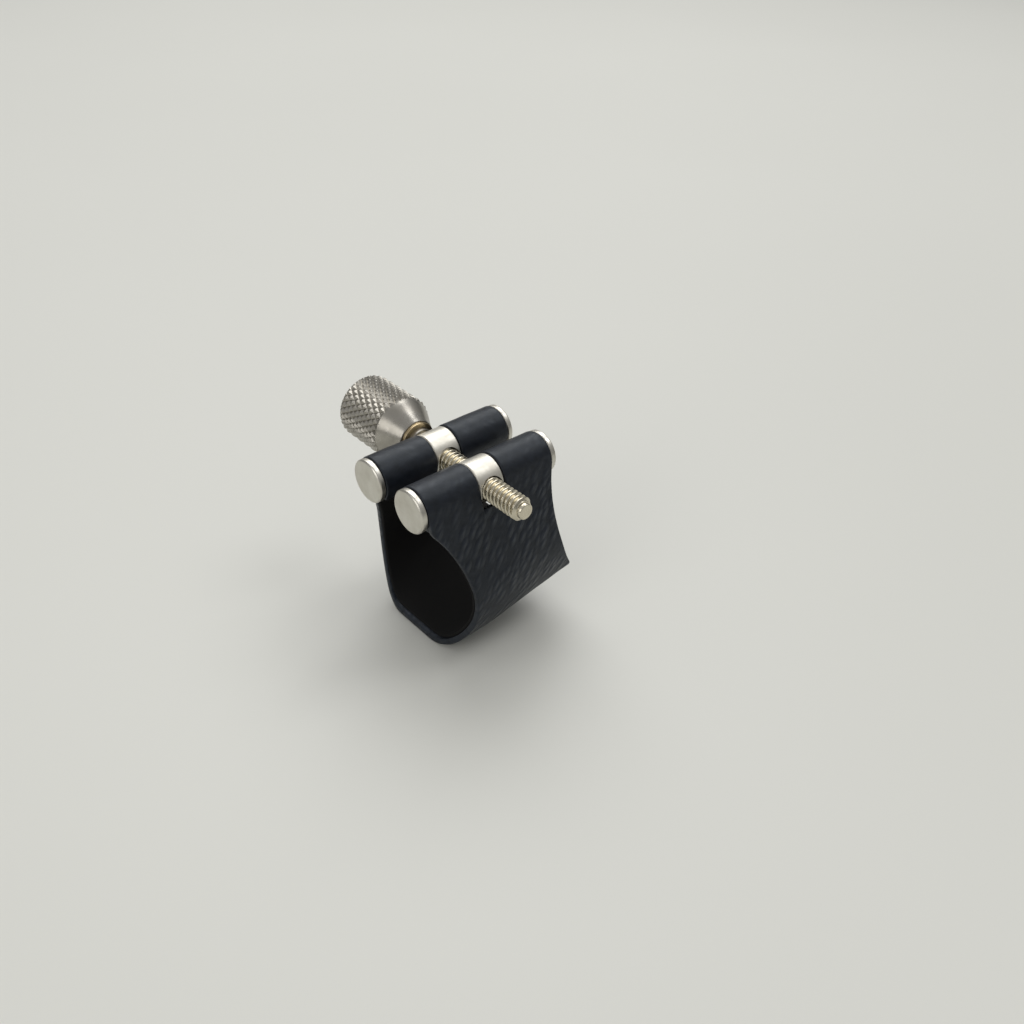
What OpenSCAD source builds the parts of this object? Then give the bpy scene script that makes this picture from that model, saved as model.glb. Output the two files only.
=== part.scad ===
// Leather-band ligature for a metal saxophone mouthpiece.
// Origin: on the mouthpiece axis, half way along the clamp posts.
// +X points to the mouthpiece tip, +Y to the thumbscrew knob, +Z from the mouthpiece to the posts.

/* [Clamp posts] */
// Distance between the two post axes as stored
post_spacing = 9.3; // [9:0.1:11]
// Height of the post axes above the mouthpiece axis
post_height = 14.5; // [14:0.1:16]
// Length of a post over its two end caps
post_length = 23.8; // [22:0.1:26]
// Radius of an end cap and of the boss in the middle of a post
cap_r = 3.2; // [3:0.05:3.3]
// Thickness of an end cap
cap_t = 0.95; // [0.7:0.05:1.2]
// Width of the boss along the post
boss_w = 4.25; // [3.8:0.05:5]
// Radius of the spindle that carries the leather loops
spindle_r = 2.1; // [2:0.05:2.4]

/* [Leather band] */
// Outer radius of a leather loop round its spindle
loop_r = 3.3; // [3.2:0.05:3.5]
// Radius of the mouthpiece body that the band closes on
seat_r = 10.45; // [10:0.05:12]
// Depth of the mouthpiece's flat underside below its axis, at the band's front edge
table_depth = 2.3; // [2:0.1:3]
// Angle at which that flat underside slants down from the front edge to the rear
table_slant = 17.5; // [15:0.5:20]
// Thickness of the outer leather skin
skin_t = 0.9; // [0.7:0.05:1.1]
// Thickness of the soft inner lining
lining_t = 0.55; // [0.4:0.05:0.8]
// Height at which the leather starts to move with the posts
hinge_z = 6.5; // [6:0.1:8]
// How far the band's lower front corner reaches towards the tip
band_front = 12.8; // [11.5:0.1:13]

/* [Thumbscrew] */
// Outer radius of the screw thread
thread_r = 1.75; // [1.5:0.05:1.8]
// Pitch of the screw thread
thread_pitch = 0.75; // [0.6:0.05:0.8]
// Distance from the middle of the posts to the screw's tip
tip_y = 14.55; // [13:0.05:16]
// Radius of the knob over its knurl
knob_r = 5.05; // [4.5:0.05:6]
// Distance from the middle of the posts to the knob's outer face
knob_y = 22.1; // [20:0.1:26]
// Length of the knurled part of the knob
knurl_l = 9.15; // [7:0.05:10]

/* [Hidden] */
$fn = 96;

reach = 60;                        // longer than anything that is cut
seam = 0.15;                       // half of the gap where the leather starts to move with a post
fit_gap = 0.05;                    // play between a piece and what it sits on
post_y = post_spacing / 2;
cap_x = post_length / 2 - cap_t;   // inner face of an end cap
pin_r = 1.3;                       // pin at each end of a spindle, which its cap is pressed on
pin_l = 0.5;
edge = 0.18;                       // chamfer on the metal edges
tapped_r = thread_r + fit_gap;
clear_r = thread_r + 2 * fit_gap;

sheet_t = skin_t + lining_t;
band_r = seat_r + sheet_t;

// The side of the band is the common tangent of the body circle and the loop circle.
leg = norm([post_y, post_height]);
tilt = asin((band_r - loop_r) / leg) - atan2(post_y, post_height);
side = [-cos(tilt), sin(tilt)];

// Edges of the band, seen from the side: both are cut by large round cutters.
waist_x = 9.8;
waist_z = 7.9;
waist_r = 20.8;
sweep_x = -6;
sweep_z = -0.8;
sweep_r = 20.3;
arc_steps = 20;

near_notch_z = post_height - 1.9;  // where the notch for the boss stops: just under the screw
far_notch_z = post_height - 3.3;   // and lower on the side where the knob turns
boss_top = post_y + cap_r;         // how far out a boss reaches along the screw
neck_r = 2.05;                     // bright neck between the far boss and the ring
neck_y = boss_top + fit_gap;
ring_t = 0.5;
ring_r = 2.7;
ring_y = 8.75;
knob_start = ring_y + ring_t;
knurl_y = knob_y - knurl_l;
socket_y = 17;                     // depth to which the rod is pressed into the knob
small_r = 2.9;                     // thin end of the knob's shoulder
rim_r = 0.6;                       // rounding of the knob's outer edge
groove = 0.42;                     // depth of the thread
crest_w = 0.16;                    // width of a thread crest, as a share of the pitch
dog_r = 1.15;                      // short plain point at the end of the thread
dog_l = 0.6;
thread_end = tip_y - 1.2;          // where the full thread stops and the point starts
thread_count = floor((thread_end + post_y) / thread_pitch);

nickel = [0.78, 0.77, 0.73];
hide = [0.09, 0.10, 0.12];

// Turns a drawing of the Y-Z section into a solid from x0 to x1.
module along_x(x0, x1) {
    translate([x0, 0, 0])
        rotate([90, 0, 90])
            linear_extrude(x1 - x0)
                children();
}

// Spins a profile of [radius, distance] points about the X axis.
module turned_x(profile) {
    rotate([0, 90, 0])
        rotate_extrude()
            polygon(profile);
}

// Spins a profile of [radius, distance] points about the Y axis.
module turned_y(profile) {
    rotate([-90, 0, 0])
        rotate_extrude()
            polygon(profile);
}

// A point on the side of the band at height z, at a given depth below its outer face.
function side_point(z, depth) =
    let (foot = (band_r - depth) * side, run = [side[1], -side[0]])
    foot + run * (z - foot[1]) / run[1];

// The near half of the band's section at a given depth, up to height top_z: the straight side
// and the arc round the mouthpiece body.
function half_outline(depth, top_z) =
    let (r = band_r - depth, from = atan2(side[1], side[0]))
    concat(
        [side_point(top_z, depth)],
        [for (s = [0:arc_steps]) let (a = from + (270 - from) * s / arc_steps) r * [cos(a), sin(a)]]
    );

function mirrored(points) = [for (i = [len(points) - 1:-1:0]) [-points[i][0], points[i][1]]];

function outline(depth, top_z) =
    let (half = half_outline(depth, top_z))
    concat(half, [for (point = mirrored(half)) if (point[0] > 1e-6) point]);

// The round cuts that shape the band's front and rear edges.
module edge_cutters() {
    translate([waist_x + waist_r, 0, waist_z])
        rotate([90, 0, 0])
            cylinder(r = waist_r, h = reach, center = true, $fn = 180);
    translate([sweep_x - sweep_r, 0, sweep_z])
        rotate([90, 0, 0])
            cylinder(r = sweep_r, h = reach, center = true, $fn = 180);
}

// All that the band's face at a given depth encloses: a round body with a flat, slanting underside.
// margin makes it longer and taller, for cutting.
module enclosed(depth, margin) {
    difference() {
        along_x(-cap_x + fit_gap - margin, band_front + margin)
            polygon(outline(depth, hinge_z - seam + margin));
        translate([band_front, 0, -table_depth - (sheet_t - depth) / cos(table_slant)])
            rotate([0, -table_slant, 0])
                translate([-reach, -reach / 2, -reach])
                    cube([2 * reach, reach, reach]);
    }
}

// One layer of the band below the seam, between two depths.
module layer(outer, inner) {
    difference() {
        enclosed(outer, 0);
        enclosed(inner, 1);
        edge_cutters();
    }
}

module leather_band() {
    color(hide)
        layer(0, skin_t);
}

module lining() {
    color([0.04, 0.04, 0.045])
        layer(skin_t, sheet_t);
}

// The near end of the leather: a side panel that ends in two loops, one each side of the boss.
// The notch between the loops starts at height notch_z.
module loops(notch_z) {
    panel_x = cap_x - fit_gap;
    difference() {
        union() {
            difference() {
                along_x(-panel_x, panel_x)
                    polygon([
                        side_point(hinge_z + seam, 0),
                        [-post_y, post_height] + loop_r * side,
                        [-post_y, post_height] + spindle_r * side,
                        side_point(hinge_z + seam, sheet_t),
                    ]);
                edge_cutters();
            }
            translate([0, -post_y, post_height])
                along_x(-panel_x, panel_x)
                    circle(loop_r);
        }
        translate([0, -post_y, post_height])
            along_x(-reach, reach)
                circle(spindle_r + fit_gap);
        translate([0, -post_y, post_height])
            along_x(-boss_w / 2 - fit_gap, boss_w / 2 + fit_gap)
                circle(cap_r + 3 * fit_gap);
        along_x(-boss_w / 2 - fit_gap, boss_w / 2 + fit_gap)
            translate([-post_y - 2 * loop_r, notch_z])
                square([4 * loop_r, 3 * loop_r]);
    }
}

module near_loops() {
    color(hide)
        loops(near_notch_z);
}

module far_loops() {
    color(hide)
        mirror([0, 1, 0])
            loops(far_notch_z);
}

// A turned post: the boss, its spindle and the pins for the caps, cross-drilled for the screw.
module barrel(y, hole_r) {
    color(nickel)
        difference() {
            translate([0, y, post_height])
                turned_x([
                    [0, -cap_x - pin_l],
                    [pin_r, -cap_x - pin_l],
                    [pin_r, -cap_x],
                    [spindle_r, -cap_x],
                    [spindle_r, -boss_w / 2],
                    [cap_r - edge, -boss_w / 2],
                    [cap_r, -boss_w / 2 + edge],
                    [cap_r, boss_w / 2 - edge],
                    [cap_r - edge, boss_w / 2],
                    [spindle_r, boss_w / 2],
                    [spindle_r, cap_x],
                    [pin_r, cap_x],
                    [pin_r, cap_x + pin_l],
                    [0, cap_x + pin_l],
                ]);
            translate([0, y, post_height])
                rotate([90, 0, 0])
                    cylinder(r = hole_r, h = 3 * cap_r, center = true);
        }
}

module near_barrel() {
    barrel(-post_y, tapped_r);
}

module far_barrel() {
    barrel(post_y, clear_r);
}

// An end cap with a chamfered rim and a socket for the spindle's pin. end is -1 at the rear and 1 in front.
module cap(y, end) {
    color(nickel)
        translate([end * cap_x, y, post_height])
            rotate([0, end > 0 ? 0 : 180, 0])
                turned_x([
                    [0, pin_l],
                    [pin_r, pin_l],
                    [pin_r, 0],
                    [cap_r - edge / 2, 0],
                    [cap_r, edge / 2],
                    [cap_r, cap_t - 1.5 * edge],
                    [cap_r - edge / 2, cap_t - edge / 2],
                    [cap_r - 1.5 * edge, cap_t],
                    [0, cap_t],
                ]);
}

module near_cap_rear() {
    cap(-post_y, -1);
}

module near_cap_front() {
    cap(-post_y, 1);
}

module far_cap_rear() {
    cap(post_y, -1);
}

module far_cap_front() {
    cap(post_y, 1);
}

// Radius of the knob's shoulder, from 0 at the ring to 1 at the knurl.
function shoulder(u) = small_r + (knob_r - 0.3 - small_r) * (0.7 * u + 0.15 * (1 - cos(180 * u)));

// The knob: a knurled barrel, a curved shoulder that narrows towards the posts, and a neck.
module thumb_knob() {
    run = knurl_y - 0.1 - knob_start;
    color(nickel)
        translate([0, 0, post_height])
            turned_y(concat(
                [[thread_r, neck_y], [neck_r, neck_y], [neck_r, knob_start]],
                [for (s = [0:8]) [shoulder(s / 8), knob_start + run * s / 8]],
                [[knob_r, knurl_y + 0.15], [knob_r, knob_y - rim_r]],
                [for (a = [15:15:90]) [knob_r - rim_r + rim_r * cos(a), knob_y - rim_r + rim_r * sin(a)]],
                [[0, knob_y], [0, socket_y], [thread_r, socket_y]]
            ));
}

// The screw: a dog point, a row of thread crests and a plain end that is pressed into the knob.
module screw_rod() {
    root_r = thread_r - groove;
    color([0.76, 0.74, 0.66])
        translate([0, 0, post_height])
            turned_y(concat(
                [[0, socket_y], [0, -tip_y], [dog_r - edge / 2, -tip_y], [dog_r, -tip_y + edge / 2]],
                [[dog_r, -tip_y + dog_l], [root_r, -tip_y + dog_l + edge], [root_r, -thread_end]],
                [for (i = [0:thread_count - 1], part = [0:2])
                    let (y = -thread_end + i * thread_pitch)
                    part == 0 ? [thread_r, y + (1 - crest_w) / 2 * thread_pitch] :
                    part == 1 ? [thread_r, y + (1 + crest_w) / 2 * thread_pitch] :
                    [root_r, y + thread_pitch]],
                [[thread_r, -thread_end + (thread_count + 0.5) * thread_pitch], [thread_r, socket_y]]
            ));
}

module brass_ring() {
    color([0.72, 0.56, 0.27])
        translate([0, 0, post_height])
            turned_y([
                [neck_r + fit_gap / 2, ring_y],
                [ring_r - 0.1, ring_y],
                [ring_r, ring_y + 0.1],
                [ring_r, ring_y + ring_t],
                [neck_r + fit_gap / 2, ring_y + ring_t],
            ]);
}

leather_band();
lining();
near_loops();
far_loops();
near_barrel();
far_barrel();
near_cap_rear();
near_cap_front();
far_cap_rear();
far_cap_front();
thumb_knob();
screw_rod();
brass_ring();
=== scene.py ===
"""A saxophone ligature: a leather band on two clamp posts, drawn together by a thumbscrew.

Lengths in the helper functions are millimetres in the CAD frame; meshes are made in metres.
+X points to the mouthpiece tip, +Y to the thumbscrew knob, +Z up to the posts.
"""

import math

import bmesh
import bpy
import numpy as np
from mathutils import Matrix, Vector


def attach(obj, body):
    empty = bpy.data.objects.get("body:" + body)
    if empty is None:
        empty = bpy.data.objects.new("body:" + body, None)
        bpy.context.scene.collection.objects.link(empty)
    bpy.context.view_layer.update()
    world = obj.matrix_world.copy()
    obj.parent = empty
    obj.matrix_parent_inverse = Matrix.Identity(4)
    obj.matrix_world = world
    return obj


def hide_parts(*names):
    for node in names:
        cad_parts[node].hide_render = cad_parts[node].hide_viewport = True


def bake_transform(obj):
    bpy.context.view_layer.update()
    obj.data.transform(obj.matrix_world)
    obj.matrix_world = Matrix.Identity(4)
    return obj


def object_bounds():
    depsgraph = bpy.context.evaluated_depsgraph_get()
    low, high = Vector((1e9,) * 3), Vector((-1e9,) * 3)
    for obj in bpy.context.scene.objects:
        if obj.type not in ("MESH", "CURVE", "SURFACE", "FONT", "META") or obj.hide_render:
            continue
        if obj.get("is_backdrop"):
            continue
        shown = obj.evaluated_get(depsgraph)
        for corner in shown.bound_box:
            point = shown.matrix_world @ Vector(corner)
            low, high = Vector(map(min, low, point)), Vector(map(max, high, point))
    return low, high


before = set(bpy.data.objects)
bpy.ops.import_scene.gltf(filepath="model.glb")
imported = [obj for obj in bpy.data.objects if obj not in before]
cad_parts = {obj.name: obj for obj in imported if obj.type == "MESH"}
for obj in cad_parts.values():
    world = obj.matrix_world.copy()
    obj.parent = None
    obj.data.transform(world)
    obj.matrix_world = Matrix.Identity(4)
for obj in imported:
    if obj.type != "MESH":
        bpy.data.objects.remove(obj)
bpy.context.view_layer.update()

MM = 0.001
POST_Y, POST_Z = 4.65, 14.5
CAP_R, CAP_T, CAP_X = 3.2, 0.95, 10.95
BOSS_W, SPINDLE_R = 4.25, 2.1
LOOP_R, LOOP_T = 3.3, 1.1                # a leather loop round its spindle: outer radius, thickness
BODY_R = 11.9                            # outer radius of the round part of the band
FOLD_R, FOLD_GROWTH = 1.1, 0.8           # the fold beside the flat underside is wider where that lies lower
FRONT_X, FRONT_Z = 12.8, -3.82           # the band's lower front edge
SLANT = math.tan(math.radians(17.5))     # how fast the flat underside drops towards the rear
SKIN_T, LINING_T = 0.9, 0.53
WRAP_T = 0.52                            # thickness of the skin's turned-over end
LAYER_GAP = 0.01                         # between the skin and what is glued to its inside
FILLET_R = 1.2                           # where the skin leaves a loop to turn down along its panel
EDGE_X = 10.9                            # where the leather stops short of an end cap
NOTCH_X = 2.19                           # half of the gap that the boss stands in
NOTCH_Z = {"near": 12.6, "far": 11.2}
WRAP_NOTCH_Z = 11.15                     # where the notch stops again on the inside of the loops
WRAP_END_Z = 8.2                         # where the turned-over end of the skin stops
FLAT_ROWS, FOLD_ROWS, BODY_ROWS = 10, 9, 35
FOOT_ROW = FLAT_ROWS + FOLD_ROWS + BODY_ROWS   # where the round body ends and the straight side starts
WAIST_X, WAIST_Z, WAIST_R = 30.62, 7.89, 20.84     # the round cut that shapes the front edge
SWEEP_X, SWEEP_Z, SWEEP_R = -26.28, -0.815, 20.29  # the round cut that shapes the rear edge
CUT_R = 0.22                             # rounding of the cut edges of the leather
CUT_BAND = 0.12                          # width of the bare leather seen along a cut edge
THREAD_R, THREAD_DEPTH, PITCH = 1.75, 0.42, 0.75
POINT_R, POINT_L = 1.15, 0.62            # the plain point at the end of the thread
RUN_OUT_R = 1.34                         # radius at which the thread starts behind the point
THREAD_END_Y = 5.3                       # where the thread stops, inside the far post
TIP_Y, KNOB_R, KNOB_Y, KNURL_Y = 14.55, 5.05, 22.1, 12.95
KNOB_RIM = 0.6                           # rounding of the knob's outer edge
KNURL_COUNT, KNURL_PITCH, KNURL_DEPTH = 30, 1.7, 0.3
SHOULDER_R = 2.9                         # thin end of the knob's shoulder
RING_Y, RING_T, RING_R, NECK_R = 8.75, 0.5, 2.7, 2.05

TILT = math.asin((BODY_R - LOOP_R) / math.hypot(POST_Y, POST_Z)) - math.atan2(POST_Y, POST_Z)
SIDE = np.array([-math.cos(TILT), math.sin(TILT)])   # outward from the near side panel
RUN = np.array([math.sin(TILT), math.cos(TILT)])     # up along the near side panel
POST = np.array([-POST_Y, POST_Z])


def smooth(t):
    """Smooth step from 0 to 1."""
    t = min(max(t, 0.0), 1.0)
    return t * t * (3 - 2 * t)


# ---------------------------------------------------------------- leather


def unit(angle):
    return np.array([math.cos(angle), math.sin(angle)])


def local(along_side, along_run):
    return along_side * SIDE + along_run * RUN


def skin_rows(notch_z, flat_z):
    """Rows of one half of the skin, from the middle underneath to the turned-over end.

    Each row is (point, outward normal, thickness) in the Y-Z section. flat_z is the underside's height."""
    rows = []
    fold_r = FOLD_R + FOLD_GROWTH * (FRONT_Z - flat_z)
    fold = np.array([-math.sqrt((BODY_R - fold_r) ** 2 - (flat_z + fold_r) ** 2), flat_z + fold_r])
    for t in np.linspace(0, 1, FLAT_ROWS + 1)[:-1]:
        rows.append((np.array([fold[0] * t, flat_z]), np.array([0.0, -1.0]), SKIN_T))
    end = math.atan2(fold[1], fold[0]) + 2 * math.pi
    for a in np.linspace(1.5 * math.pi, end, FOLD_ROWS + 1)[:-1]:
        rows.append((fold + fold_r * unit(a), unit(a), SKIN_T))
    for a in np.linspace(end, math.atan2(SIDE[1], SIDE[0]), BODY_ROWS + 1)[:-1]:
        rows.append((BODY_R * unit(a), unit(a), SKIN_T))
    foot, top = BODY_R * SIDE, POST + LOOP_R * SIDE
    notch = foot + RUN * (notch_z - foot[1]) / RUN[1]
    for t in np.linspace(0, 1, 18)[:-1]:
        rows.append((foot + (notch - foot) * t, SIDE, SKIN_T))
    for t in np.linspace(0, 1, 11)[:-1]:
        rows.append((notch + (top - notch) * t, SIDE, SKIN_T + (LOOP_T - SKIN_T) * smooth(t)))
    return rows + loop_rows()


def loop_rows():
    """The loop round the spindle, the fillet below it, and the end glued to the panel."""
    rows = []
    inner = LOOP_R - SKIN_T - LINING_T - 2 * LAYER_GAP
    across = inner - FILLET_R
    down = math.sqrt((LOOP_R + FILLET_R) ** 2 - across ** 2)
    last = 2 * math.pi - math.atan2(down, across)
    for a in np.linspace(0, last, 64)[:-1]:
        n = local(math.cos(a), math.sin(a))
        rows.append((POST + LOOP_R * n, n, LOOP_T))
    centre = POST + local(across, -down)
    for t in np.linspace(0, 1, 13)[:-1]:
        a = (last - math.pi) * (1 - t)
        n = local(math.cos(a), math.sin(a))
        rows.append((centre + FILLET_R * n, -n, LOOP_T - (LOOP_T - WRAP_T) * smooth(t)))
    start = centre + FILLET_R * SIDE
    stop = start + RUN * (WRAP_END_Z - start[1]) / RUN[1]
    for t in np.linspace(0, 1, 9):
        rows.append((start + (stop - start) * t, -SIDE, WRAP_T - 0.12 * smooth((t - 0.6) / 0.4)))
    return rows


def lining_rows(flat_z):
    """The lining lies inside the skin, up to the skin's turned-over end."""
    rows = []
    for point, normal, _ in skin_rows(NOTCH_Z["far"], flat_z):
        inner = point - (SKIN_T + LAYER_GAP) * normal
        if inner[1] > WRAP_END_Z - 0.06:
            break
        rows.append((inner, normal, LINING_T))
    return rows


def front_x(z):
    """The band's front edge at height z: waisted, and flared towards the lower corner."""
    x = WAIST_X - math.sqrt(WAIST_R ** 2 - (z - WAIST_Z) ** 2)
    return min(x, FRONT_X if z < 7.5 else EDGE_X)


def rear_x(z):
    """The band's rear edge at height z: swept forward below the posts."""
    return max(SWEEP_X + math.sqrt(max(SWEEP_R ** 2 - (z - SWEEP_Z) ** 2, 0.0)), -EDGE_X)


def edge_steps(a, b, middle):
    """Columns from a to b, close together at both ends so that the cut edges can be rounded."""
    near = [0, 0.03, 0.08, 0.15, 0.25]
    between = list(np.linspace(a + near[-1], b - near[-1], middle + 1))[1:-1]
    return [a + d for d in near] + between + [b - d for d in near[::-1]]


def gap_to_cut(x, a, b, in_notch):
    """Distance from x to the nearest cut edge, in a row that runs from a to b."""
    return min(x - a, b - x, abs(abs(x) - NOTCH_X) if in_notch else math.inf)


def round_off(distance, radius):
    """How far the surface drops at this distance from a cut edge."""
    if distance >= radius:
        return 0.0
    return radius - math.sqrt(radius ** 2 - (radius - distance) ** 2)


def settle(x, y, z):
    """The band as worn: drawn in a little where the body gets thinner in front, and lower at the rear.

    Both fade out with height, so that the loops stay where the posts are."""
    most_squeeze, most_drop = 0.05, 0.45
    squeeze = 1 - most_squeeze * smooth((x + 4.0) / 16.8) * smooth((6.0 - z) / 8.0)
    drop = most_drop * smooth((5.0 - x) / 13.0) * min(max((13.5 - z) / 10.5, 0.0), 1.0)
    return x, y * squeeze, z * squeeze - drop


class Section:
    """Rows of leather that change along X, because the underside slants.

    Looks up a row at any x, and how far along the leather it lies, counted from the foot of the side."""
    START, STEP, COUNT = -13.0, 0.25, 109

    def __init__(self, make_rows, mirrored):
        stations = self.START + self.STEP * np.arange(self.COUNT)
        lowest = 0.5 - BODY_R   # the fold needs a little of the round body beside it
        rows = [make_rows(max(FRONT_Z - SLANT * (FRONT_X - x), lowest)) for x in stations]
        self.table = np.array([[(*p, *n, t) for p, n, t in row] for row in rows])
        steps = np.linalg.norm(np.diff(self.table[:, :, :2], axis=1), axis=2)
        length = np.concatenate([np.zeros((len(rows), 1)), np.cumsum(steps, axis=1)], axis=1)
        self.longest = float(length.max())
        self.along = length - length[:, FOOT_ROW:FOOT_ROW + 1]
        if mirrored:
            self.table[:, :, [0, 2]] *= -1

    def row(self, i, x):
        k = (x - self.START) / self.STEP
        low, share = int(k), k - int(k)
        row, along = (t[low, i] * (1 - share) + t[low + 1, i] * share for t in (self.table, self.along))
        return row, float(along)

    def edge(self, i, law, x):
        """Where row i meets a front or rear edge, which is given as x at a height."""
        for _ in range(16):
            x = 0.5 * x + 0.5 * law(self.row(i, x)[0][1])
        return x


def strip(name, section, notch_z=None, inset=0.0):
    """A strip of leather over a section, with real thickness and rounded cut edges.

    notch_z is where the notch for the boss starts; it runs from there over the top of the loops.
    Returns the object and its flat width, length and area. Materials: 0 outside, 1 inside, 2 cut edge."""
    heights = section.table[0, :, 1]
    first, last = len(heights), -1
    if notch_z is not None:
        first = next(i for i, z in enumerate(heights) if i > FOOT_ROW and z >= notch_z - 1e-6)
        last = max(i for i, z in enumerate(heights) if z >= WRAP_NOTCH_Z)
    verts, uvs, outer, inner, ends = [], [], [], [], []
    for i in range(len(heights)):
        a, b = section.edge(i, rear_x, -8.0) + inset, section.edge(i, front_x, 10.0) - inset
        ends.append((a, b))
        xs = edge_steps(a, -NOTCH_X, 14)
        xs += list(np.linspace(-NOTCH_X, NOTCH_X, 9))[1:-1] + edge_steps(NOTCH_X, b, 16)
        layers = ([], [])
        for x in xs:
            (y, z, ny, nz, thick), along = section.row(i, x)
            drop = round_off(gap_to_cut(x, a, b, first <= i <= last), min(CUT_R, thick * 0.45))
            wave = 0.02 * math.sin(0.9 * x + 0.35 * along) * math.sin(0.55 * along - 0.4 * x)
            for layer, depth in zip(layers, (drop - wave, thick - drop)):
                layer.append(len(verts))
                verts.append(settle(x, y - depth * ny, z - depth * nz))
                uvs.append((x, along))
        outer.append(layers[0])
        inner.append(layers[1])

    def middle(i, j):
        return 0.5 * (verts[outer[i][j]][0] + verts[outer[i][j + 1]][0])

    def here(i, j):
        inside = 0 <= i < len(outer) - 1 and 0 <= j < len(outer[0]) - 1
        return inside and not (first <= i < last and abs(middle(i, j)) < NOTCH_X - 1e-6)

    faces, kinds, area = [], [], 0.0
    for i in range(len(outer) - 1):
        for j in range(len(outer[0]) - 1):
            if not here(i, j):
                continue
            a, b, c, d = outer[i][j], outer[i][j + 1], outer[i + 1][j + 1], outer[i + 1][j]
            faces += [[a, b, c, d], [inner[i][j], inner[i + 1][j], inner[i + 1][j + 1], inner[i][j + 1]]]
            kinds += [2 if gap_to_cut(middle(i, j), *ends[i], first <= i < last) < CUT_BAND else 0, 1]
            diagonals = np.array(verts[c]) - verts[a], np.array(verts[d]) - verts[b]
            area += 0.5 * float(np.linalg.norm(np.cross(*diagonals)))
            for di, dj, p, q in ((-1, 0, (i, j), (i, j + 1)), (1, 0, (i + 1, j + 1), (i + 1, j)),
                                 (0, -1, (i + 1, j), (i, j)), (0, 1, (i, j + 1), (i + 1, j + 1))):
                if not here(i + di, j + dj):
                    faces.append([outer[p[0]][p[1]], inner[p[0]][p[1]], inner[q[0]][q[1]], outer[q[0]][q[1]]])
                    kinds.append(2)
    width = max(b - a for a, b in ends)
    return build(name, verts, faces, uvs, kinds), (width * MM, section.longest * MM, area * MM * MM)


def build(name, verts, faces, uvs, kinds=None, sharp=50.0):
    """A mesh object from millimetre points, with UVs in millimetres."""
    mesh = bpy.data.meshes.new(name)
    mesh.from_pydata([(x * MM, y * MM, z * MM) for x, y, z in verts], [], faces)
    layer = mesh.uv_layers.new(name="mm")
    points = np.array(uvs, float)[[l.vertex_index for l in mesh.loops]]
    layer.data.foreach_set("uv", points.astype(np.float32).ravel())
    if kinds:
        mesh.polygons.foreach_set("material_index", kinds)
    tidy(mesh, sharp)
    obj = bpy.data.objects.new(name, mesh)
    bpy.context.scene.collection.objects.link(obj)
    return obj


def tidy(mesh, sharp):
    """Merges double points, turns faces outward and shades smooth up to an angle."""
    bm = bmesh.new()
    bm.from_mesh(mesh)
    bmesh.ops.remove_doubles(bm, verts=bm.verts, dist=1e-7)
    bmesh.ops.recalc_face_normals(bm, faces=bm.faces)
    bm.to_mesh(mesh)
    bm.free()
    mesh.shade_smooth()
    mesh.set_sharp_from_angle(angle=math.radians(sharp))


# ---------------------------------------------------------------- turned metal


def rounded(profile, radius, steps=4):
    """The profile with each inner corner replaced by an arc of about this radius."""
    points = [np.array(p, float) for p in profile]
    out = [points[0]]
    for a, b, c in zip(points, points[1:], points[2:]):
        r = min(radius, 0.45 * np.linalg.norm(b - a), 0.45 * np.linalg.norm(c - b))
        p, q = b + (a - b) / np.linalg.norm(a - b) * r, b + (c - b) / np.linalg.norm(c - b) * r
        for t in np.linspace(0, 1, steps + 1):
            out.append((1 - t) ** 2 * p + 2 * t * (1 - t) * b + t * t * q)
    out.append(points[-1])
    return out


def lathe(name, profile, axis, centre, count=128, shape=None, kind_at=None, sharp=40.0):
    """Spins (radius, distance) points about X or Y. shape(angle, distance, radius) may change a radius.

    A shaped quad is split along its lower diagonal, so that cut grooves stay crisp."""
    verts, radii, rings, faces, face_uvs, kinds = [], [], [], [], [], []
    run = np.concatenate([[0], np.cumsum([math.dist(a, b) for a, b in zip(profile, profile[1:])])])
    for r, t in profile:
        ring = []
        for k in range(1 if r < 1e-6 else count):
            a = 2 * math.pi * k / count
            rr = shape(a, t, r) if shape else r
            s, c = rr * math.sin(a), rr * math.cos(a)
            p = (t, s, c) if axis == "x" else (s, t, c)
            ring.append(len(verts))
            verts.append(tuple(np.array(p) + centre))
            radii.append(rr)
        rings.append(ring)
    for i, (low, high) in enumerate(zip(rings, rings[1:])):
        for k in range(count):
            n = (k + 1) % count
            quad = [low[k % len(low)], low[n % len(low)], high[n % len(high)], high[k % len(high)]]
            around = [k, k + 1, k + 1, k]
            along = [run[i], run[i], run[i + 1], run[i + 1]]
            keep = [m for m in range(4) if quad[m] not in quad[:m]]
            if len(keep) < 3:
                continue
            parts = [keep]
            if shape and len(keep) == 4:
                across = radii[quad[0]] + radii[quad[2]] <= radii[quad[1]] + radii[quad[3]]
                parts = [(0, 1, 2), (0, 2, 3)] if across else [(0, 1, 3), (1, 2, 3)]
            for part in parts:
                faces.append([quad[m] for m in part])
                face_uvs += [(around[m] / count * 20.0, along[m]) for m in part]
                kinds.append(kind_at(0.5 * (profile[i][1] + profile[i + 1][1])) if kind_at else 0)
    mesh = bpy.data.meshes.new(name)
    mesh.from_pydata([(x * MM, y * MM, z * MM) for x, y, z in verts], [], faces)
    mesh.uv_layers.new(name="mm").data.foreach_set("uv", np.array(face_uvs, np.float32).ravel())
    mesh.polygons.foreach_set("material_index", kinds)
    tidy(mesh, sharp)
    obj = bpy.data.objects.new(name, mesh)
    bpy.context.scene.collection.objects.link(obj)
    return obj


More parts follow.
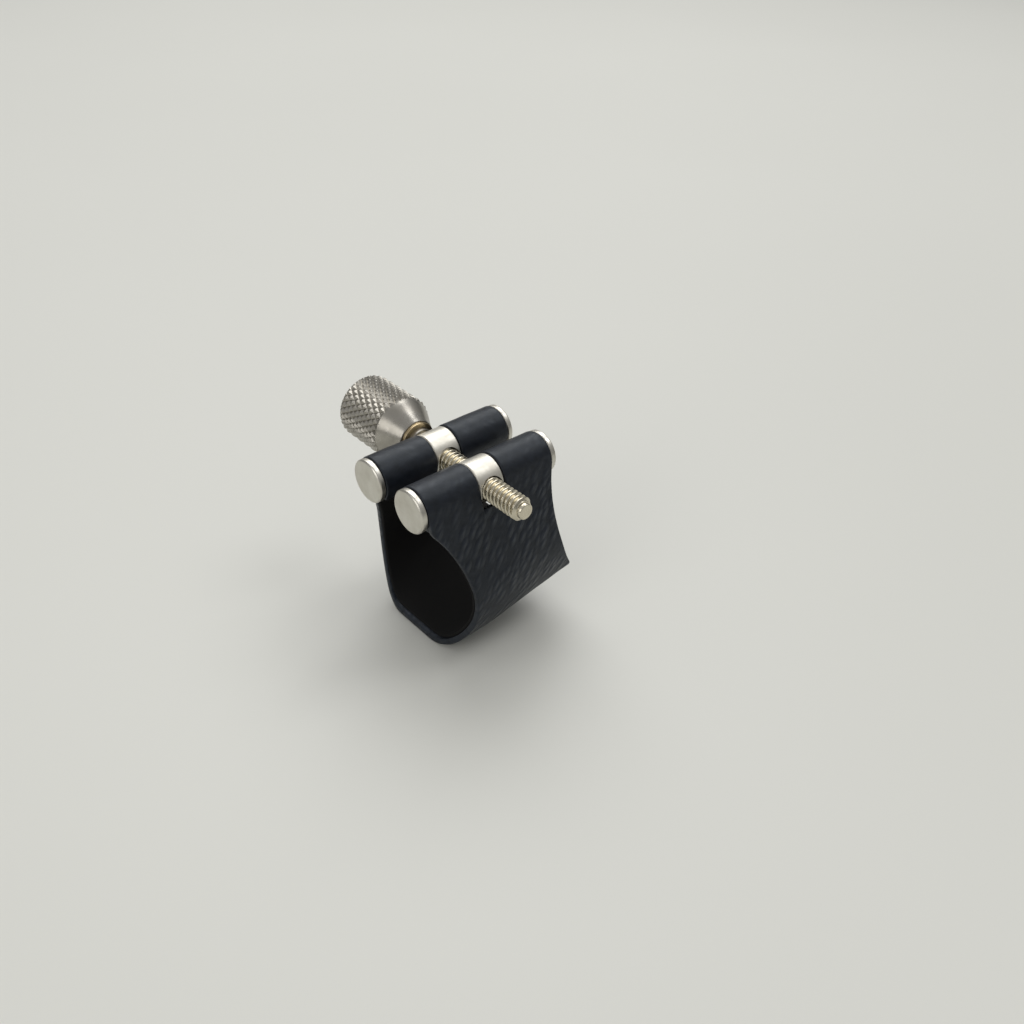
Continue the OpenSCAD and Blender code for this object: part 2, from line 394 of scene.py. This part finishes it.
def drill(obj, radius, y):
    """Cuts the screw hole through a post, with a small countersink at both mouths."""
    reach, sink = CAP_R + 1.0, 0.12
    top = math.sqrt(CAP_R ** 2 - radius ** 2)
    profile = [(0, -reach), (radius + sink, -reach), (radius + sink, -top - 0.05), (radius, -top + sink),
               (radius, top - sink), (radius + sink, top + 0.05), (radius + sink, reach), (0, reach)]
    tool = lathe("drill", profile, "y", (0, y, POST_Z), 96)
    cut = obj.modifiers.new("hole", "BOOLEAN")
    cut.operation, cut.object, cut.solver = "DIFFERENCE", tool, "EXACT"
    mesh = bpy.data.meshes.new_from_object(obj.evaluated_get(bpy.context.evaluated_depsgraph_get()))
    obj.modifiers.clear()
    obj.data = mesh
    bpy.data.objects.remove(tool)
    mesh.set_sharp_from_angle(angle=math.radians(35))


def make_post(name, y, hole_r):
    half, edge = BOSS_W / 2, 0.2
    boss = rounded([(SPINDLE_R, -half), (CAP_R - edge, -half), (CAP_R, -half + edge), (CAP_R, half - edge),
                    (CAP_R - edge, half), (SPINDLE_R, half)], 0.06)
    profile = [(0, -CAP_X + 0.02), (SPINDLE_R, -CAP_X + 0.02)] + [tuple(p) for p in boss] + [
        (SPINDLE_R, CAP_X - 0.02), (0, CAP_X - 0.02)]
    obj = lathe(name, profile, "x", (0, y, POST_Z), 160)
    drill(obj, hole_r, y)
    return obj


def make_cap(name, y, end):
    """An end cap: a satin disc with a polished rim."""
    shape = rounded([(0, CAP_T), (CAP_R - 0.22, CAP_T), (CAP_R, CAP_T - 0.2),
                     (CAP_R, 0.12), (CAP_R - 0.12, 0), (0, 0)], 0.1, 5)
    profile = [(float(r), end * (CAP_X + float(t))) for r, t in shape]
    face = CAP_X + CAP_T - 0.02
    return lathe(name, profile, "x", (0, y, POST_Z), 128, sharp=60.0,
                 kind_at=lambda t: 0 if abs(t) > face else 1)


def knurl_radius(angle, t, radius):
    """Pyramids of a diamond knurl, cut off by the knob's own outline at both ends."""
    if t < KNURL_Y - 0.35 or radius < KNOB_R - 0.65:
        return radius
    around, along = angle * KNURL_COUNT / (2 * math.pi), (t - KNURL_Y) / KNURL_PITCH
    groove = max(abs((around + along) % 1 - 0.5), abs((around - along) % 1 - 0.5)) * 2
    height = min(1.0, 1.25 * (1 - groove))
    return min(KNOB_R - KNURL_DEPTH * (1 - height), radius)


def make_knob():
    def outline(t):
        u = min((t - RING_Y - RING_T) / (KNURL_Y - 0.1 - RING_Y - RING_T), 1.0)
        r = SHOULDER_R + (KNOB_R - KNURL_DEPTH - SHOULDER_R) * (0.7 * u + 0.15 * (1 - math.cos(math.pi * u)))
        return min(r + max(0.0, t - KNURL_Y + 0.1) * 1.1, KNOB_R)

    start = RING_Y + RING_T
    profile = [(THREAD_R, RING_Y - 0.85), (NECK_R - 0.05, RING_Y - 0.85), (NECK_R, RING_Y - 0.8),
               (NECK_R, start), (2.82, start), (SHOULDER_R, start + 0.06)]
    profile += [(outline(t), t) for t in np.linspace(start + 0.15, KNURL_Y - 0.15, 30)]
    step = KNURL_PITCH / 12
    profile += [(outline(t), t)
                for t in KNURL_Y + step * np.arange(-0.5, (KNOB_Y - KNOB_RIM - KNURL_Y) / step, 0.5)]
    profile += [(KNOB_R - KNOB_RIM + KNOB_RIM * math.cos(a), KNOB_Y - KNOB_RIM + KNOB_RIM * math.sin(a))
                for a in np.linspace(0.05, math.pi / 2, 14)]
    profile += [(3.4, KNOB_Y), (3.3, KNOB_Y - 0.06), (0, KNOB_Y - 0.06)]
    return lathe("thumbscrew_knob", profile, "y", (0, 0, POST_Z), 24 * KNURL_COUNT, knurl_radius,
                 lambda t: 1 if t < KNURL_Y - 0.1 else 0, sharp=24.0)


def thread_radius(angle, t, radius):
    """A right-hand V thread that runs out into the chamfered point."""
    if radius < THREAD_R - 1e-3 or t > THREAD_END_Y:
        return radius
    phase = ((t / PITCH - angle / (2 * math.pi) + 0.5) % 1) - 0.5
    depth = min(max((abs(phase) - 0.09) / 0.33, 0.0), 1.0)
    r = THREAD_R - THREAD_DEPTH * (depth - 0.06 * math.sin(2 * math.pi * depth))
    return min(r, RUN_OUT_R + (t + TIP_Y - POINT_L) * 1.5)


def make_screw():
    profile = [(0, -TIP_Y), (1.0, -TIP_Y), (1.08, -TIP_Y + 0.02), (POINT_R, -TIP_Y + 0.1),
               (POINT_R, -TIP_Y + 0.58), (RUN_OUT_R, -TIP_Y + POINT_L)]
    profile += [(THREAD_R, t) for t in np.arange(-TIP_Y + 0.66, 5.4, PITCH / 16)]
    profile += [(THREAD_R, 5.45), (THREAD_R, RING_Y + 2), (0, RING_Y + 2)]
    return lathe("thumbscrew_rod", profile, "y", (0, 0, POST_Z), 96, thread_radius, sharp=60.0)


def make_ring():
    a, b, m = RING_Y + 0.01, RING_Y + RING_T - 0.01, RING_Y + RING_T / 2
    bore, waist = NECK_R + 0.02, RING_R - 0.1
    shape = rounded([(bore, a), (RING_R, a), (RING_R, m - 0.07), (waist, m - 0.04), (waist, m + 0.04),
                     (RING_R, m + 0.07), (RING_R, b), (bore, b), (bore, a)], 0.07)
    return lathe("washer_ring", [tuple(p) for p in shape], "y", (0, 0, POST_Z), 96)


# ---------------------------------------------------------------- materials


class Nodes:
    """A small helper for one material's node tree."""

    def __init__(self, name):
        self.mat = bpy.data.materials.new(name)
        self.mat.use_nodes = True
        self.tree = self.mat.node_tree
        self.shader = self.tree.nodes["Principled BSDF"]

    def add(self, kind, inputs=None, **settings):
        node = self.tree.nodes.new(kind)
        for key, value in settings.items():
            setattr(node, key, value)
        for key, value in (inputs or {}).items():
            self.put(node, key, value)
        return node

    def put(self, node, key, value):
        if isinstance(value, bpy.types.NodeSocket):
            self.tree.links.new(value, node.inputs[key])
        else:
            node.inputs[key].default_value = value

    def set(self, **inputs):
        for key, value in inputs.items():
            self.put(self.shader, key.replace("_", " "), value)

    def uv(self, scale, turn=0.0):
        """The mesh's millimetre UVs, turned and then scaled to cells."""
        uv = self.add("ShaderNodeUVMap", uv_map="mm").outputs[0]
        turned = self.add("ShaderNodeMapping", {"Vector": uv, "Rotation": (0, 0, turn)}).outputs[0]
        return self.add("ShaderNodeMapping", {"Vector": turned, "Scale": scale}).outputs[0]

    def object_space(self, scale):
        place = self.add("ShaderNodeTexCoord").outputs["Object"]
        return self.add("ShaderNodeMapping", {"Vector": place, "Scale": scale}).outputs[0]

    def noise(self, vector, scale, detail=3.0, rough=0.5):
        inputs = {"Vector": vector, "Scale": scale, "Detail": detail, "Roughness": rough}
        return self.add("ShaderNodeTexNoise", inputs).outputs[0]

    def ramp(self, value, low, high, out_low=0.0, out_high=1.0):
        return self.add("ShaderNodeMapRange", {0: value, 1: low, 2: high, 3: out_low, 4: out_high}).outputs[0]

    def math(self, how, a, b=0.0):
        return self.add("ShaderNodeMath", {0: a, 1: b}, operation=how).outputs[0]

    def mix(self, factor, a, b):
        return self.add("ShaderNodeMix", {0: factor, 6: a, 7: b}, data_type="RGBA").outputs[2]

    def bump(self, height, strength, distance, normal=None):
        inputs = {"Height": height, "Strength": strength, "Distance": distance}
        if normal is not None:
            inputs["Normal"] = normal
        return self.add("ShaderNodeBump", inputs).outputs[0]


def leather_grain():
    """Charcoal leather: embossed slanted scales on the band, stretched smooth over the loops."""
    n = Nodes("charcoal_leather")
    v = n.add("ShaderNodeSeparateXYZ", {0: n.uv((1, 1, 1))}).outputs[1]
    emboss = n.ramp(v, 7.5, 14.0, 1.0, 0.1)
    wobble = n.noise(n.uv((1, 1, 1)), 0.9, 2.0)
    slanted = n.uv((0.5, 1.1, 1), math.radians(-50))
    cells = n.add("ShaderNodeTexVoronoi", {"Vector": slanted, "Scale": 1.0, "Randomness": 1.0},
                  feature="SMOOTH_F1")
    cells.inputs["Smoothness"].default_value = 0.35
    scales = n.ramp(cells.outputs["Distance"], 0.05, 0.62, 1.0, 0.0)
    fibres = n.noise(n.uv((0.5, 2.2, 1), math.radians(-38)), 2.2, 3.0, 0.6)
    pores = n.noise(n.uv((1, 1, 1)), 6.0, 4.0, 0.65)
    height = n.math("ADD", n.math("MULTIPLY", n.math("ADD", scales, n.math("MULTIPLY", fibres, 0.2)), emboss),
                    n.math("MULTIPLY", pores, 0.12))
    scuffs = n.ramp(n.noise(n.uv((0.35, 1.6, 1), 0.3), 1.1, 5.0, 0.7), 0.52, 0.75)
    base = n.mix(n.ramp(wobble, 0.3, 0.7), (0.006, 0.0072, 0.0105, 1), (0.011, 0.0135, 0.02, 1))
    # The crests of the scales are coloured lighter and bluish: painted highlight laid over the real grain
    # pattern.
    crest_highlight_mask = n.math("MULTIPLY", n.math("MULTIPLY", scales, emboss), 0.5)
    grain_with_crest_highlight = n.mix(crest_highlight_mask, base, (0.028, 0.034, 0.048, 1))
    colour = n.mix(n.math("MULTIPLY", scuffs, 0.3), grain_with_crest_highlight, (0.035, 0.038, 0.046, 1))
    n.set(Base_Color=colour, Roughness=n.ramp(n.math("ADD", scales, pores), 0.4, 1.5, 0.46, 0.34),
          Normal=n.bump(height, 0.8, 0.00018), Specular_IOR_Level=0.36, Specular_Tint=(0.86, 0.94, 1.0, 1))
    return n.mat


def leather_edge():
    n = Nodes("cut_leather_edge")
    fibre = n.noise(n.object_space((1, 1, 1)), 2600.0, 4.0, 0.7)
    n.set(Base_Color=n.mix(fibre, (0.006, 0.006, 0.006, 1), (0.03, 0.026, 0.022, 1)), Roughness=0.78,
          Normal=n.bump(fibre, 0.5, 0.00006))
    return n.mat


def lining_suede():
    n = Nodes("black_lining")
    nap = n.noise(n.uv((1, 1, 1)), 9.0, 5.0, 0.7)
    n.set(Base_Color=n.mix(nap, (0.004, 0.004, 0.004, 1), (0.012, 0.0115, 0.011, 1)), Roughness=0.92,
          Normal=n.bump(nap, 0.6, 0.00006), Specular_IOR_Level=0.2)
    return n.mat


def nickel(name, colour, rough, streak, scale, vary=0.08):
    """Nickel plate with turned streaks along one direction of the UVs."""
    n = Nodes(name)
    lines = n.noise(n.uv(scale), 1.0, 4.0, 0.7)
    cloud = n.noise(n.object_space((1, 1, 1)), 420.0, 3.0, 0.6)
    dark = (colour[0] * 0.86, colour[1] * 0.85, colour[2] * 0.83, 1)
    n.set(Base_Color=n.mix(n.ramp(cloud, 0.35, 0.7), (*colour, 1), dark), Metallic=1.0,
          Roughness=n.ramp(n.math("ADD", lines, cloud), 0.6, 1.4, rough - vary, rough + vary),
          Normal=n.bump(lines, streak, 0.00002))
    return n.mat


def brass():
    n = Nodes("aged_brass")
    cloud = n.noise(n.object_space((1, 1, 1)), 900.0, 3.0, 0.6)
    n.set(Base_Color=n.mix(cloud, (0.66, 0.55, 0.36, 1), (0.42, 0.32, 0.18, 1)), Metallic=1.0, Roughness=0.3)
    return n.mat


def floor_material():
    n = Nodes("pale_table")
    soft = n.noise(n.object_space((1, 1, 1)), 6.0, 2.0)
    n.set(Base_Color=n.mix(soft, (0.63, 0.63, 0.585, 1), (0.655, 0.655, 0.61, 1)), Roughness=0.5)
    return n.mat


def dress(obj, slot, *mats):
    obj.data.materials.clear()
    for m in mats:
        obj.data.materials.append(m)


# ---------------------------------------------------------------- assembly


def add_leather(grain, edge, suede):
    for side in ("near", "far"):
        rows = Section(lambda flat_z: skin_rows(NOTCH_Z[side], flat_z), side == "far")
        skin, size = strip(f"skin_{side}", rows, NOTCH_Z[side])
        inside, inside_size = strip(f"lining_{side}", Section(lining_rows, side == "far"), None, 0.04)
        dress(skin, "skin", grain, suede, edge)
        dress(inside, "lining", suede, suede, suede)
        for obj in (skin, inside):
            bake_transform(obj)
        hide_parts("leather_band", f"{side}_loops")
        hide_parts("lining")


def add_posts(satin, disc, rim):
    for side, y, hole in (("near", -POST_Y, 1.8), ("far", POST_Y, 1.85)):
        post = make_post(f"{side}_post", y, hole)
        dress(post, "nickel", satin)
        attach(post, f"{side}_clamp")
        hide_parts(f"{side}_barrel")
        for end, word in ((-1, "rear"), (1, "front")):
            cap = make_cap(f"{side}_{word}_disc", y, end)
            dress(cap, "nickel", disc, rim)
            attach(cap, f"{side}_clamp")
            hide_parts(f"{side}_cap_{word}")


def add_thumbscrew(knurl, polished, thread, gold):
    for obj, slot, node, mats in ((make_knob(), "nickel", "thumb_knob", (knurl, polished)),
                                  (make_screw(), "screw", "screw_rod", (thread,)),
                                  (make_ring(), "brass", "brass_ring", (gold,))):
        dress(obj, slot, *mats)
        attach(obj, "thumbscrew")
        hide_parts(node)


def add_floor(z):
    mesh = bpy.data.meshes.new("table_top")
    mesh.from_pydata([(-3, -3, z), (3, -3, z), (3, 3, z), (-3, 3, z)], [], [(0, 1, 2, 3)])
    floor = bpy.data.objects.new("table_top", mesh)
    bpy.context.scene.collection.objects.link(floor)
    mesh.materials.append(floor_material())
    floor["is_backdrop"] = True


def add_light(name, place, size, watts, colour=(1, 1, 1)):
    """An area light that looks at a point a little above the mouthpiece axis."""
    data = bpy.data.lights.new(name, "AREA")
    data.shape, data.size, data.size_y, data.energy, data.color = "RECTANGLE", size[0], size[1], watts, colour
    light = bpy.data.objects.new(name, data)
    place, target = np.array(place, float), np.array([0, 0, 0.008])
    light.matrix_world = facing(place, place - target)
    bpy.context.scene.collection.objects.link(light)


def facing(place, back):
    """A matrix at place whose -Z looks against back."""
    b = back / np.linalg.norm(back)
    r = np.cross([0, 0, 1], b)
    r = r / np.linalg.norm(r)
    return placed(r, np.cross(b, r), b, place)


def placed(right, up, back, place):
    """A matrix with these three axes, at place."""
    return Matrix([[*row, p] for row, p in zip(np.stack([right, up, back], 1), place)] + [[0, 0, 0, 1]])


def add_camera():
    """The camera that the photograph's outlines were fitted with."""
    az, el, roll = map(math.radians, (-42.10, 36.03, 1.20))
    b = np.array([math.sin(az) * math.cos(el), -math.cos(az) * math.cos(el), math.sin(el)])
    right = np.cross([0, 0, 1], b)
    right /= np.linalg.norm(right)
    up = np.cross(b, right)
    r = math.cos(roll) * right + math.sin(roll) * up
    u = -math.sin(roll) * right + math.cos(roll) * up
    data = bpy.data.cameras.new("camera")
    data.lens, data.sensor_width, data.clip_start, data.clip_end = 34.30, 36.0, 0.002, 20.0
    camera = bpy.data.objects.new("camera", data)
    place = np.array([-70.75, -90.06, 89.76]) * MM
    camera.matrix_world = placed(r, u, b, place)
    bpy.context.scene.collection.objects.link(camera)
    bpy.context.scene.camera = camera


def add_world():
    world = bpy.data.worlds.new("studio")
    world.use_nodes = True
    tree = world.node_tree
    sky = tree.nodes["Background"]
    place = tree.nodes.new("ShaderNodeTexCoord").outputs["Generated"]
    split = tree.nodes.new("ShaderNodeSeparateXYZ")
    tree.links.new(place, split.inputs[0])
    ramp = tree.nodes.new("ShaderNodeValToRGB")
    stops = ramp.color_ramp.elements
    stops[0].position, stops[0].color = 0.0, (0.16, 0.16, 0.155, 1)
    stops[1].position, stops[1].color = 0.75, (0.66, 0.66, 0.66, 1)
    middle = stops.new(0.3)
    middle.color = (0.42, 0.42, 0.415, 1)
    tree.links.new(split.outputs[2], ramp.inputs[0])
    tree.links.new(ramp.outputs[0], sky.inputs[0])
    sky.inputs[1].default_value = 0.75
    bpy.context.scene.world = world


add_camera()
add_leather(leather_grain(), leather_edge(), lining_suede())
add_posts(nickel("satin_nickel", (0.7, 0.675, 0.605), 0.42, 0.6, (0.25, 14.0, 1)),
          nickel("satin_disc", (0.64, 0.62, 0.56), 0.36, 0.1, (3.0, 3.0, 1)),
          nickel("polished_rim", (0.72, 0.7, 0.64), 0.14, 0.05, (0.5, 6.0, 1), 0.04))
# The knurl's nickel is far darker than the polished nickel of the same knob: painted shade for the darker
# look of the knurled band.
add_thumbscrew(nickel("knurl_nickel_painted_shade", (0.38, 0.362, 0.325), 0.3, 0.05, (2.0, 2.0, 1)),
               nickel("polished_nickel", (0.84, 0.81, 0.73), 0.17, 0.15, (0.25, 10.0, 1), 0.05),
               nickel("screw_nickel", (0.68, 0.63, 0.51), 0.26, 0.2, (0.5, 12.0, 1)),
               brass())
add_floor(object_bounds()[0][2] - 0.00002)
add_world()
add_light("back_softbox", (0.34, 0.52, 0.78), (0.90, 0.70), 5.4)
add_light("left_softbox", (-0.45, -0.05, 0.22), (0.30, 0.30), 0.5, (1.0, 0.99, 0.97))
add_light("right_softbox", (0.44, -0.17, 0.66), (0.30, 0.30), 1.0, (0.99, 0.99, 1.0))
bpy.context.scene.view_settings.view_transform = "Standard"
